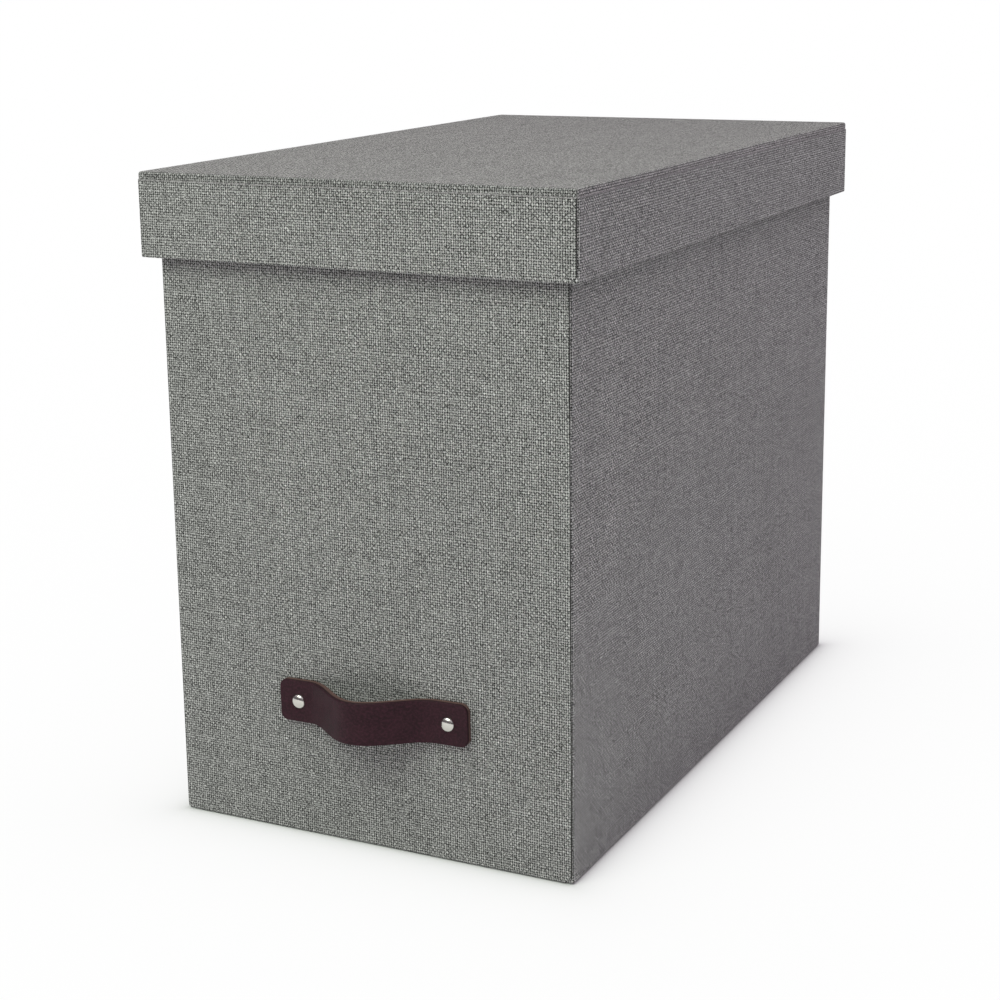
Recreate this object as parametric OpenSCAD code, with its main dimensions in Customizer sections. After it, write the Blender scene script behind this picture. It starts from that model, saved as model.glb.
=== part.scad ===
// Upright file box: greyboard walls covered in canvas, a lift-off lid, rails for hanging folders
// and a riveted leather pull low on the front.
// Origin: middle of the underside, on the surface the box stands on. +X right, +Y back, +Z up.

/* [Box] */
// Width of the box over its side covers
box_w = 193.5; // [120:0.5:320]
// Depth of the box over its front and back covers
box_d = 337.7; // [330:0.1:345]
// Height of the covered rim above the table
rim_h = 286.4; // [272:0.1:330]
// Radius of the box's upright corners
box_corner_r = 1.4; // [0.8:0.1:2.7]
// How far the front and back covers stop short of the box's corners
box_seam = 0.6; // [0.5:0.1:4]

/* [Lid] */
// Play between the box and the lid's skirt on every side
lid_gap = 2.55; // [1.2:0.05:4]
// Height of the lid over everything
lid_h = 36.6; // [30:0.1:60]
// Radius of the lid's upright corners
lid_corner_r = 1.6; // [1:0.1:2.7]
// How far the skirt's front and back covers stop short of the lid's corners
lid_seam = 0.8; // [0.5:0.1:4]

/* [Board and canvas] */
// Thickness of the greyboard
board_t = 2.8; // [2:0.1:3.5]
// Thickness of one sheet of canvas or lining paper
sheet_t = 0.4; // [0.3:0.05:0.5]
// How far a sheet turned over an outer edge reaches
turn = 12; // [8:0.5:16]
// How far a sheet turned over a rim reaches down its inner side
turn_in = 15; // [8:0.5:20]
// How far the underside's own sheet stays inside the box's edges
base_inset = 4; // [2:0.5:8]
// Thickness of the gummed paper tape in the inner corners
tape_t = 0.2; // [0.1:0.05:0.25]
// Width of each leg of that tape
tape_leg = 18; // [10:1:30]

/* [Folder rails] */
// Thickness of the rails' sheet steel
steel_t = 0.8; // [0.5:0.1:1]
// Distance between the two carrying edges, middle to middle
rail_spacing = 311; // [306:0.5:313]
// How far the carrying edges lie below the rim
rail_drop = 22.4; // [18:0.1:40]
// Depth of the channel behind the carrying edge
rail_channel = 14; // [8:0.5:20]
// Height of the leg that grips the wall's outer face
rail_grip = 10; // [5:0.5:20]
// Height of the fold that doubles the carrying edge
rail_hem = 4; // [2:0.5:6]
// Play between the rails' ends and the box's sides
rail_play = 0.5; // [0.2:0.1:3]

/* [Leather pull] */
// Length of the pull from tab end to tab end
pull_l = 92; // [88:0.5:120]
// Width of the strap
pull_w = 18.8; // [14:0.2:30]
// Thickness of the leather
leather_t = 3; // [2:0.1:4]
// How far the back of the strap stands off the front at the top of its bow
bow_h = 15.6; // [8:0.1:18]
// Length of the bow's short, left slope
bow_left = 29.5; // [28:0.5:32]
// Length of its longer right slope
bow_right = 33; // [28:0.5:34]
// How far the top of the bow sits left of the pull's middle
bow_skew = 2.2; // [0:0.1:3]
// Distance between the two rivets
rivet_spacing = 73.2; // [72:0.2:76]
// Height of the pull's middle above the table
pull_z = 62.9; // [40:0.1:200]
// How far the pull's middle sits right of the front's middle
pull_x = 3.8; // [-10:0.1:10]
// Slant of the hand-set pull in degrees, right end up
pull_slant = 0.8; // [0:0.1:2]
// Radius of the tabs' corners
tab_r = 3.5; // [1:0.5:6]
// Diameter of a rivet's cap
cap_d = 6.5; // [5:0.1:8]
// Height of the cap's dome
cap_h = 1.6; // [1:0.1:2.5]
// Diameter of a rivet's post
post_d = 2.8; // [2:0.1:4]
// Play round a rivet's post
post_play = 0.1; // [0.05:0.05:0.3]
// Diameter of the washer behind each rivet
washer_d = 11; // [9:0.5:16]
// Thickness of that washer
washer_t = 0.6; // [0.4:0.1:1]

/* [Hidden] */
$fn = 64;

canvas_grey = [0.50, 0.50, 0.49];
board_grey = [0.62, 0.58, 0.52];
lining_white = [0.86, 0.85, 0.82];
tape_brown = [0.66, 0.52, 0.36];
steel_grey = [0.72, 0.73, 0.75];
leather_brown = [0.21, 0.14, 0.16];
nickel = [0.85, 0.84, 0.82];

// a wall's inner face lies this far inside the outermost sheet
wall_t = sheet_t + board_t;
// half sizes of the box's inner faces, between bare boards
box_ix = box_w / 2 - wall_t;
box_iy = box_d / 2 - wall_t;
// where the boards stand: on one turned-over sheet and the underside's own sheet
board_z = 2 * sheet_t;
floor_z = board_z + board_t;

// the lid stands off the box by its play and by its own wall with the sheet turned inside
lid_w = box_w + 2 * (lid_gap + wall_t + sheet_t);
lid_d = box_d + 2 * (lid_gap + wall_t + sheet_t);
lid_ix = lid_w / 2 - wall_t;
lid_iy = lid_d / 2 - wall_t;
// the lid's lining rests on the rails, which sit on the rim
lid_seat_z = rim_h + steel_t;
lid_top_z = lid_seat_z + sheet_t + wall_t;
lid_rim_z = lid_top_z - lid_h;
lid_board_z = lid_top_z - wall_t;
// the top sheet covers the top board's edge, and the skirt's sheets start below it
lid_turn_z = lid_top_z - turn;

// the rails stop just short of the side linings, and lie against the sheet turned over the rim
rail_l = 2 * (box_ix - sheet_t - rail_play);
rail_face_y = box_iy - sheet_t;

front_y = -box_d / 2;
rivet_hole_r = post_d / 2 + post_play;
// a rivet's grip: strap, front sheet, board and lining, then the washer
grip_t = leather_t + wall_t + sheet_t + washer_t;
// facets along each slope of the bow
bow_steps = 20;
// longer than anything here, for cutting flat shapes in two
far = 400;

// flat outline with round corners, centred
module outline(w, d, r) {
  translate([-w / 2 + r, -d / 2]) square([w - 2 * r, d]);
  translate([-w / 2, -d / 2 + r]) square([w, d - 2 * r]);
  for (x = [-1, 1], y = [-1, 1])
    translate([x * (w / 2 - r), y * (d / 2 - r)]) circle(r);
}

// a sheet's thickness wrapped round that outline
module wrap(w, d, r) {
  difference() {
    outline(w, d, r);
    outline(w - 2 * sheet_t, d - 2 * sheet_t, r - sheet_t);
  }
}

// the part of a flat shape to the right of x, or in front of y
module right_of(x) {
  intersection() {
    children();
    translate([x, -far / 2]) square(far);
  }
}
module front_of(y) {
  intersection() {
    children();
    translate([-far / 2, y - far]) square(far);
  }
}

module slab(z_low, z_high) {
  translate([0, 0, z_low]) linear_extrude(z_high - z_low) children();
}

// a block given by its two corners
module block(low, high) {
  translate(low) cube(high - low);
}

// ---------- the leather pull ----------

// puts something on the front of the box, on the pull's slanted middle line, with +Z outwards
module on_front() {
  translate([pull_x, front_y, pull_z])
    rotate([0, -pull_slant, 0]) rotate([90, 0, 0]) children();
}

module at_rivets() {
  for (side = [-1, 1]) translate([side * rivet_spacing / 2, 0, 0]) children();
}

// the strap's back along one slope of the bow: a cosine wave from its top down to the tab,
// and the same line moved out by t along its normals
function slope_line(run, t) = [
  for (i = [0:bow_steps])
    let (
      a = 180 * i / bow_steps,
      steepness = bow_h / 2 * sin(a) * PI / run,
      normal = [steepness, 1] / norm([steepness, 1])
    )
    [run * i / bow_steps, bow_h / 2 * (1 + cos(a))] + t * normal
];

function mirrored(line) = [for (i = [len(line) - 1:-1:0]) [-line[i].x, line[i].y]];

// side view of the strap from tab end to tab end: x along it, y away from the box
module strap_profile() {
  crown = -bow_skew;
  left = -pull_l / 2 - crown;
  right = pull_l / 2 - crown;
  front = concat(mirrored(slope_line(bow_left, leather_t)), slope_line(bow_right, leather_t));
  back = concat(mirrored(slope_line(bow_left, 0)), slope_line(bow_right, 0));
  translate([crown, 0])
    polygon(concat([[left, 0], [left, leather_t]], front, [[right, leather_t], [right, 0]],
      [for (i = [len(back) - 1:-1:0]) back[i]]));
}

module pull_strap() {
  color(leather_brown) on_front() difference() {
    intersection() {
      rotate([90, 0, 0]) linear_extrude(pull_w, center = true) strap_profile();
      linear_extrude(bow_h + leather_t) outline(pull_l, pull_w, tab_r);
    }
    at_rivets() translate([0, 0, -1]) cylinder(r = rivet_hole_r, h = leather_t + 2);
  }
}

// low dome, flat side down
module dome(d, h) {
  sphere_r = (d * d / 4 + h * h) / (2 * h);
  intersection() {
    translate([0, 0, h - sphere_r]) sphere(sphere_r);
    cylinder(d = d, h = h);
  }
}

module pull_rivets() {
  color(nickel) on_front() at_rivets() translate([0, 0, leather_t]) {
    dome(cap_d, cap_h);
    translate([0, 0, -grip_t]) cylinder(d = post_d, h = grip_t + cap_h / 2);
  }
}

module rivet_washers() {
  color(steel_grey) on_front() at_rivets() translate([0, 0, leather_t - grip_t]) difference() {
    cylinder(d = washer_d, h = washer_t);
    translate([0, 0, -1]) cylinder(r = rivet_hole_r, h = washer_t + 2);
  }
}

module rivet_caps() {
  color(nickel) on_front() at_rivets() translate([0, 0, leather_t - grip_t])
    rotate([180, 0, 0]) dome(cap_d, cap_h);
}

module rivet_holes() {
  on_front() at_rivets() translate([0, 0, -grip_t]) cylinder(r = rivet_hole_r, h = grip_t + 1);
}

// ---------- the box ----------

// the front board in plan: its ends step back under the side sheets turned round the corners
module end_board_plan() {
  front_of(-box_iy) outline(box_w - 2 * sheet_t, box_d - 4 * sheet_t, box_corner_r - sheet_t);
  translate([turn - box_w / 2, front_y + sheet_t]) square([box_w - 2 * turn, board_t]);
}

module front_board() {
  color(board_grey) difference() {
    slab(board_z, rim_h - sheet_t) end_board_plan();
    rivet_holes();
  }
}

module back_board() {
  color(board_grey) slab(board_z, rim_h - sheet_t) rotate(180) end_board_plan();
}

module right_board() {
  color(board_grey)
    block([box_ix, -box_iy, board_z], [box_ix + board_t, box_iy, rim_h - sheet_t]);
}

module left_board() {
  mirror([1, 0, 0]) right_board();
}

// the base board fills the walls, and its middle reaches down between the turned-over sheets
module base_board() {
  color(board_grey) {
    block([-box_ix, -box_iy, board_z], [box_ix, box_iy, floor_z]);
    block([turn - box_w / 2, turn - box_d / 2, sheet_t], [box_w / 2 - turn, box_d / 2 - turn, floor_z]);
  }
}

// an angle of paper tape in each inner corner of a frame with inner half sizes ix and iy
module angle_tapes(ix, iy, leg) {
  for (x = [0, 1], y = [0, 1]) mirror([x, 0]) mirror([0, y]) {
    translate([ix - leg, iy - tape_t]) square([leg, tape_t]);
    translate([ix - tape_t, iy - leg]) square([tape_t, leg]);
  }
}

module corner_tapes() {
  color(tape_brown) slab(floor_z, rim_h - turn_in) angle_tapes(box_ix, box_iy, tape_leg);
}

// side sheet: round both upright corners, over the rim, down inside and under the base
module right_cover() {
  w = box_w;
  d = box_d - 2 * sheet_t;
  color(canvas_grey) {
    slab(sheet_t, rim_h - sheet_t) right_of(box_w / 2 - turn) wrap(w, d, box_corner_r);
    slab(rim_h - sheet_t, rim_h) right_of(box_ix - sheet_t) outline(w, d, box_corner_r);
    slab(sheet_t, board_z) right_of(box_w / 2 - turn) outline(w, d, box_corner_r);
    block([box_ix - sheet_t, -box_iy, rim_h - turn_in], [box_ix, box_iy, rim_h]);
  }
}

module left_cover() {
  mirror([1, 0, 0]) right_cover();
}

// front sheet: laid over the side sheets' turned edges and stopped short of the corners
module end_cover() {
  half = box_w / 2 - box_seam;
  rim_half = box_ix - sheet_t;
  under_half = box_w / 2 - turn;
  block([-half, front_y, sheet_t], [half, front_y + sheet_t, rim_h]);
  block([-rim_half, front_y, rim_h - sheet_t], [rim_half, -rail_face_y, rim_h]);
  block([-rim_half, -box_iy, rim_h - turn_in], [rim_half, -rail_face_y, rim_h]);
  block([-under_half, front_y, sheet_t], [under_half, front_y + turn, board_z]);
}

module front_cover() {
  color(canvas_grey) difference() {
    end_cover();
    rivet_holes();
  }
}

module back_cover() {
  color(canvas_grey) rotate(180) end_cover();
}

module base_cover() {
  color(canvas_grey) slab(0, sheet_t)
    outline(box_w - 2 * base_inset, box_d - 2 * base_inset, box_corner_r);
}

module wall_lining() {
  color(lining_white) difference() {
    slab(floor_z, rim_h - turn_in) difference() {
      square([2 * box_ix, 2 * box_iy], center = true);
      square([2 * (box_ix - sheet_t), 2 * (box_iy - sheet_t)], center = true);
      angle_tapes(box_ix, box_iy, tape_leg);
    }
    rivet_holes();
  }
}

module floor_lining() {
  half = [box_ix - sheet_t, box_iy - sheet_t];
  color(lining_white) block([-half.x, -half.y, floor_z], [half.x, half.y, floor_z + sheet_t]);
}

// ---------- the folder rails ----------

// one bent strip of steel, in section from the wall's outer face to the carrying edge;
// x points into the box and y up, with 0 at the wall's outer face and the rim's top
module rail_section() {
  face = -rail_face_y - front_y;
  edge = -rail_spacing / 2 - front_y;
  low = -rail_drop - rail_channel;
  translate([-steel_t, -rail_grip]) square([steel_t, rail_grip + steel_t]);
  translate([-steel_t, 0]) square([face + 2 * steel_t, steel_t]);
  translate([face, low]) square([steel_t, steel_t - low]);
  translate([face, low]) square([edge - face + steel_t / 2, steel_t]);
  translate([edge - steel_t / 2, low]) square([steel_t, rail_channel]);
  translate([edge - steel_t / 2, -rail_drop - rail_hem]) square([2 * steel_t, rail_hem]);
}

module front_rail() {
  color(steel_grey) translate([-rail_l / 2, front_y, rim_h])
    rotate([90, 0, 90]) linear_extrude(rail_l) rail_section();
}

module back_rail() {
  rotate(180) front_rail();
}

// ---------- the lid ----------

module lid_top_board() {
  color(board_grey) slab(lid_board_z, lid_top_z - sheet_t)
    outline(lid_w - 4 * sheet_t, lid_d - 4 * sheet_t, lid_corner_r - sheet_t);
}

// a skirt board is thinner along its top, where the top sheet is turned down over it
module lid_end_board() {
  slab(lid_rim_z + sheet_t, lid_board_z)
    front_of(-lid_iy) outline(lid_w - 2 * sheet_t, lid_d - 4 * sheet_t, lid_corner_r - sheet_t);
  block([turn - lid_w / 2, sheet_t - lid_d / 2, lid_rim_z + sheet_t],
    [lid_w / 2 - turn, -lid_iy, lid_turn_z]);
}

module lid_front_board() {
  color(board_grey) lid_end_board();
}

module lid_back_board() {
  color(board_grey) rotate(180) lid_end_board();
}

module lid_side_board(thickness, z_high) {
  slab(lid_rim_z + sheet_t, z_high) intersection() {
    translate([lid_ix, -lid_iy]) square([thickness, 2 * lid_iy]);
    outline(lid_w - 2 * sheet_t, lid_d - 4 * sheet_t, lid_corner_r - sheet_t);
  }
}

module lid_right_board() {
  color(board_grey) {
    lid_side_board(board_t, lid_turn_z);
    lid_side_board(board_t - sheet_t, lid_board_z);
  }
}

module lid_left_board() {
  mirror([1, 0, 0]) lid_right_board();
}

module lid_corner_tapes() {
  color(tape_brown) slab(lid_rim_z + turn_in, lid_seat_z) angle_tapes(lid_ix, lid_iy, tape_leg);
}

// top sheet: over the top board's edge, and turned down under the skirt's sheets
module lid_top_cover() {
  w = lid_w - 2 * sheet_t;
  d = lid_d - 2 * sheet_t;
  end_half = lid_w / 2 - turn;
  side_half = lid_d / 2 - turn;
  color(canvas_grey) {
    slab(lid_top_z - sheet_t, lid_top_z) outline(w, d, lid_corner_r);
    slab(lid_board_z, lid_top_z) wrap(w, d, lid_corner_r);
    for (y = [0, 1]) mirror([0, y, 0])
      block([-end_half, -d / 2, lid_turn_z], [end_half, sheet_t - d / 2, lid_top_z]);
    for (x = [0, 1]) mirror([x, 0, 0])
      block([w / 2 - sheet_t, -side_half, lid_turn_z], [w / 2, side_half, lid_top_z]);
  }
}

// side sheet of the skirt: round both corners, under the skirt's rim and up inside
module lid_right_cover() {
  w = lid_w;
  d = lid_d - 2 * sheet_t;
  color(canvas_grey) {
    slab(lid_rim_z + sheet_t, lid_board_z) right_of(lid_w / 2 - turn) wrap(w, d, lid_corner_r);
    slab(lid_rim_z, lid_rim_z + sheet_t) right_of(lid_ix - sheet_t) outline(w, d, lid_corner_r);
    block([lid_ix - sheet_t, -lid_iy, lid_rim_z], [lid_ix, lid_iy, lid_rim_z + turn_in]);
  }
}

module lid_left_cover() {
  mirror([1, 0, 0]) lid_right_cover();
}

module lid_end_cover() {
  half = lid_w / 2 - lid_seam;
  rim_half = lid_ix - sheet_t;
  low_y = -lid_d / 2;
  in_y = sheet_t - lid_iy;
  block([-half, low_y, lid_rim_z], [half, low_y + sheet_t, lid_board_z]);
  block([-rim_half, low_y, lid_rim_z], [rim_half, in_y, lid_rim_z + sheet_t]);
  block([-rim_half, -lid_iy, lid_rim_z], [rim_half, in_y, lid_rim_z + turn_in]);
}

module lid_front_cover() {
  color(canvas_grey) lid_end_cover();
}

module lid_back_cover() {
  color(canvas_grey) rotate(180) lid_end_cover();
}

module lid_top_lining() {
  color(lining_white) block([-lid_ix, -lid_iy, lid_seat_z], [lid_ix, lid_iy, lid_board_z]);
}

module lid_skirt_lining() {
  color(lining_white) slab(lid_rim_z + turn_in, lid_seat_z) difference() {
    square([2 * lid_ix, 2 * lid_iy], center = true);
    square([2 * (lid_ix - sheet_t), 2 * (lid_iy - sheet_t)], center = true);
    angle_tapes(lid_ix, lid_iy, tape_leg);
  }
}

front_board();
back_board();
left_board();
right_board();
base_board();
corner_tapes();
left_cover();
right_cover();
front_cover();
back_cover();
base_cover();
wall_lining();
floor_lining();
front_rail();
back_rail();
pull_strap();
pull_rivets();
rivet_washers();
rivet_caps();
lid_top_board();
lid_front_board();
lid_back_board();
lid_left_board();
lid_right_board();
lid_corner_tapes();
lid_left_cover();
lid_right_cover();
lid_front_cover();
lid_back_cover();
lid_top_cover();
lid_top_lining();
lid_skirt_lining();
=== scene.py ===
"""Upright canvas-covered file box with a lift-off lid and a leather pull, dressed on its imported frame.

Metres, +Z up, front towards -Y. Sizes below are in millimetres and are scaled as the meshes are made.
"""

import math

import bmesh
import bpy
from mathutils import Matrix, Vector


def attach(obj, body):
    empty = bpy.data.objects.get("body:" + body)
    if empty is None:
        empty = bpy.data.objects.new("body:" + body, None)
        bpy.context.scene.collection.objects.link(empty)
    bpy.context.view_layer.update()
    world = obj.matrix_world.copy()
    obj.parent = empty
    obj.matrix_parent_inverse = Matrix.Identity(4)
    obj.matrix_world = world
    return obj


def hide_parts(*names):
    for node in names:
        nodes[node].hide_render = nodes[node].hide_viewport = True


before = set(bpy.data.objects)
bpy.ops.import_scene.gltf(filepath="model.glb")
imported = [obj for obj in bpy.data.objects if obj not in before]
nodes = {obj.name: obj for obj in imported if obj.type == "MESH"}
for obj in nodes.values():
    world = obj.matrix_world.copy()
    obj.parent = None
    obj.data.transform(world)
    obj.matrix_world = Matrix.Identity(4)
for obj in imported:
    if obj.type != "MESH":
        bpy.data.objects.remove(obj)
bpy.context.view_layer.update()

# ---------- greyboard ----------
# Ten panels of 2.8 mm greyboard, the carcass of the box and of its lid. They are cut, glued edge to
# edge and then covered, so they keep their plain sawn shape and a dull, flecked pulp surface.


class Wire:
    """A socket of the material being mixed. Python's operators on wires add its Math nodes."""

    tree = None

    def __init__(self, socket):
        self.socket = socket

    @classmethod
    def add(cls, kind, settings, sockets, out=0):
        """Adds a node of that kind: its settings first, then the values or wires of its sockets."""
        node = cls.tree.nodes.new("ShaderNode" + kind)
        for key, setting in settings.items():
            if key == "stops":
                while len(node.color_ramp.elements) < len(setting):
                    node.color_ramp.elements.new(1)
                for stop, (position, grey) in zip(node.color_ramp.elements, setting):
                    stop.position = position
                    stop.color = (grey, grey, grey, 1)
            else:
                setattr(node, key, setting)
        for key, given in sockets.items():
            if isinstance(given, Wire):
                cls.tree.links.new(given.socket, node.inputs[key])
            else:
                node.inputs[key].default_value = given
        return cls(node.outputs[out])

    def output(self, name):
        return Wire(self.socket.node.outputs[name])

    def maths(self, operation, *others):
        return Wire.add("Math", {"operation": operation}, dict(enumerate([self, *others])))

    def __add__(self, other):
        return self.maths("ADD", other)

    __radd__ = __add__

    def __sub__(self, other):
        return self.maths("SUBTRACT", other)

    def __rsub__(self, other):
        return Wire.add("Math", {"operation": "SUBTRACT"}, {0: other, 1: self})

    def __mul__(self, other):
        return self.maths("MULTIPLY", other)

    __rmul__ = __mul__

    def __truediv__(self, other):
        return self.maths("DIVIDE", other)

    def __pow__(self, other):
        return self.maths("POWER", other)

    def between(self, low, high):
        """0 below low, 1 above high and smooth in between."""
        settings = {"interpolation_type": "SMOOTHSTEP"}
        sockets = {"Value": self, "From Min": low, "From Max": high}
        return Wire.add("MapRange", settings, sockets)


def dye(share, first, second):
    """A colour between two others."""
    colours = [(*c, 1) if isinstance(c, tuple) else c for c in (first, second)]
    settings = {"data_type": "RGBA", "clamp_factor": True}
    return Wire.add("Mix", settings, {0: share, 6: colours[0], 7: colours[1]}, 2)


def place(x, y, z):
    """A spot to read a pattern at. z only keeps one cloth pattern apart from the next."""
    return Wire.add("CombineXYZ", {}, {0: x, 1: y, 2: z})


def cloud(at, scale, detail=2.0, roughness=0.5):
    """Soft random patches, about 0.5 on average."""
    sockets = {"Vector": at, "Scale": scale, "Detail": detail, "Roughness": roughness}
    return Wire.add("TexNoise", {}, sockets)


def bumped(height, distance, strength):
    """A normal from a height. distance is how far a height of 1 stands out, in metres."""
    return Wire.add("Bump", {}, {"Height": height, "Distance": distance, "Strength": strength})


def finish(name, sockets):
    """Closes a material with one Principled shader that takes these values and wires."""
    shader = Wire.add("BsdfPrincipled", {}, sockets)
    Wire.tree.links.new(shader.socket, Wire.tree.nodes["Material Output"].inputs["Surface"])
    return bpy.data.materials[name]


def begin(name):
    """Opens a material. The nodes that follow are added to it."""
    material = bpy.data.materials.new(name)
    material.use_nodes = True
    Wire.tree = material.node_tree
    Wire.tree.nodes.remove(Wire.tree.nodes["Principled BSDF"])


def dress(node, material):
    """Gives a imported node, whose own shape is right, its real material."""
    shape = nodes[node].data
    shape.materials.clear()
    shape.materials.append(material)


begin("greyboard")
at = Wire.add("TexCoord", {}, {}, 3)
pulp = cloud(at, 260, 5.0, 0.65)
flecks = cloud(at, 900, 1.0).between(0.62, 0.72)
board_colour = dye(pulp.between(0.3, 0.7), (0.30, 0.255, 0.20), (0.41, 0.36, 0.295))
greyboard = finish(
    "greyboard",
    {
        "Base Color": dye(flecks * 0.6, board_colour, (0.16, 0.14, 0.12)),
        "Roughness": 0.9,
        "Normal": bumped(pulp, 0.0002, 0.5),
    },
)
for panel in ("front", "back", "left", "right"):
    dress(panel + "_board", greyboard)
    dress("lid_" + panel + "_board", greyboard)
dress("base_board", greyboard)
dress("lid_top_board", greyboard)

# ---------- corner tapes ----------
# Gummed brown kraft paper, folded into an angle and pasted down every inner corner to hold the boards
# together until the covers are on. The linings hide all but its outline.

begin("kraft_tape")
at = Wire.add("TexCoord", {}, {}, 3)
fibre = cloud(Wire.add("VectorMath", {"operation": "MULTIPLY"}, {0: at, 1: (1, 1, 0.12)}), 1500, 3.0)
kraft = finish(
    "kraft_tape",
    {
        "Base Color": dye(fibre.between(0.3, 0.7), (0.33, 0.205, 0.10), (0.47, 0.31, 0.165)),
        "Roughness": 0.75,
        "Normal": bumped(fibre, 0.0001, 0.4),
    },
)
dress("corner_tapes", kraft)
dress("lid_corner_tapes", kraft)

# ---------- side covers of the box ----------
# Paper-backed cotton canvas, one sheet for each side. It is pasted on the board, turned round both
# upright corners, over the rim and under the base, and its raw edges are left square and open.

MM = 0.001
SHEET = 0.4

# the box over its side sheets and over its end sheets, its rim, and its upright corners' radius
box_half_w = 96.75
box_side_y = 168.45
box_front_y = 168.85
box_top = 286.4
box_corner = 1.4

# the radius of a fold in the cloth, how much is turned over an edge, how much goes down inside, and
# where the cloth inside the rim lies and ends
fold = 1.0
fold_steps = 6
turn = 12.0
turn_in = 15.0
rim_in_x = 93.15
rim_in_y = 165.25
corner_y = 165.65

# from one yarn's middle to the next, and how far the yarns wander
WARP = 1.05
WEFT = 1.09
WANDER = 1.5


def dice(column, row):
    """An even random number for each whole column and row."""
    return Wire.add("TexWhiteNoise", {"noise_dimensions": "2D"}, {"Vector": place(column, row, 0.0)})


def canvas(name, shade, contrast):
    """Plain weave in grey yarns, read from each sheet's own flat pattern in millimetres. contrast is
    how strongly its yarns and openings stand out."""
    begin(name)
    flat = Wire.add("UVMap", {"uv_map": "weave"}, {})
    parts = Wire.add("SeparateXYZ", {}, {0: flat})
    u, v = parts.output("X"), parts.output("Y")
    # the yarns wander, so their spacing is never quite even
    drift_u = cloud(place(u * 0.16, v * 0.012, 1.7), 1.0, 2.0)
    drift_v = cloud(place(u * 0.012, v * 0.16, 6.1), 1.0, 2.0)
    across = (u + (drift_u - 0.5) * WANDER) / WARP
    along = (v + (drift_v - 0.5) * WANDER) / WEFT
    column, row = across.maths("FLOOR"), along.maths("FLOOR")
    in_column, in_row = across.maths("FRACT"), along.maths("FRACT")
    # +1 where the upright yarn lies on top, -1 where the level one does
    over = (column + row).maths("FLOORED_MODULO", 2.0) * -2.0 + 1.0
    round_u = (in_column * math.pi).maths("SINE")
    round_v = (in_row * math.pi).maths("SINE")
    upright = round_u ** 0.6 * (over * round_v * 0.5 + 0.5)
    level = round_v ** 0.6 * (0.5 - over * round_u * 0.5)
    height = upright.maths("MAXIMUM", level)
    on_top = (upright - level).between(-0.08, 0.08)
    # every yarn has its own shade, thickens into slubs and is a little uneven at each crossing
    yarn_u = Wire.add("TexWhiteNoise", {"noise_dimensions": "1D"}, {"W": column + 0.31})
    yarn_v = Wire.add("TexWhiteNoise", {"noise_dimensions": "1D"}, {"W": row + 500.77})
    slub_u = cloud(place(column * 3.7, v * 0.075, 2.3), 1.0, 2.0)
    slub_v = cloud(place(u * 0.075, row * 3.7, 9.4), 1.0, 2.0)
    nub_u = cloud(place(column * 5.3, v * 0.42, 8.8), 1.0, 1.0)
    nub_v = cloud(place(u * 0.42, row * 5.3, 4.6), 1.0, 1.0)
    crossing = dice(column, row)
    tone_u = yarn_u * 0.2 + slub_u * 0.55 + nub_u * 0.65 - 0.7
    tone_v = yarn_v * 0.2 + slub_v * 0.55 + nub_v * 0.65 - 0.7
    yarn = tone_v + on_top * (tone_u - tone_v)
    fibre = cloud(place(u, v, 4.2), 3.2, 1.0, 0.5)
    # between four crossings the cloth is open, more at some than at others, and the openings are painted
    # dark as shade
    opening = dice((across + 0.5).maths("FLOOR"), (along + 0.5).maths("FLOOR"))
    hole_shade = (1.0 - round_u) * (1.0 - round_v) * (opening * 3.0 + 1.2)
    cloudy = cloud(place(u * 0.02, v * 0.012, 3.3), 1.0, 3.0, 0.6)
    # the yarns' crowns are painted lighter and their dips darker, as shade, over each yarn's own tone and
    # fibres
    weave_tone_and_shade = (
        (height - 0.75) * 1.1
        + (on_top - 0.5) * 0.4
        + yarn
        + (crossing - 0.5) * 0.45
        + (fibre - 0.5) * 5.5
        - (hole_shade - 0.35)
    )
    light = (1.0 + weave_tone_and_shade * contrast + (cloudy - 0.5) * 0.25).maths("MAXIMUM", 0.05)
    # the level yarns are dyed a trace greener
    level_shade = (shade[0] * 0.985, shade[1], shade[2] * 0.985)
    tint = dye(on_top, level_shade, shade)
    colour = Wire.add("VectorMath", {"operation": "SCALE"}, {0: tint, "Scale": light})
    return finish(
        name,
        {
            "Base Color": colour,
            "Roughness": 0.92,
            "Specular IOR Level": 0.22,
            "Sheen Weight": 0.12,
            "Sheen Roughness": 0.6,
            "Normal": bumped(height + fibre * 0.25, 0.00016, 0.8),
        },
    )


grey_canvas = canvas("grey_canvas", (0.2700, 0.2625, 0.2670), 1.2)
# the sides' copy of the canvas is the same cloth painted a trace lighter, as light, for the shade the sides
# stand in; its weave stands out more
side_canvas_painted_light = canvas("side_canvas_painted_light", (0.2740, 0.2675, 0.2720), 1.55)

# the sheets' cut edges are painted near black as shade, so the seams show as dark lines; their tone frays at
# random
begin("canvas_cut_edge_painted_shade")
at = Wire.add("TexCoord", {}, {}, 3)
frayed = cloud(at, 1800, 2.0)
shade_painted_cut_edge = finish(
    "canvas_cut_edge_painted_shade",
    {
        "Base Color": dye(frayed.between(0.35, 0.65), (0.02, 0.02, 0.02), (0.09, 0.09, 0.087)),
        "Roughness": 0.95,
        "Specular IOR Level": 0.1,
    },
)


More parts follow.
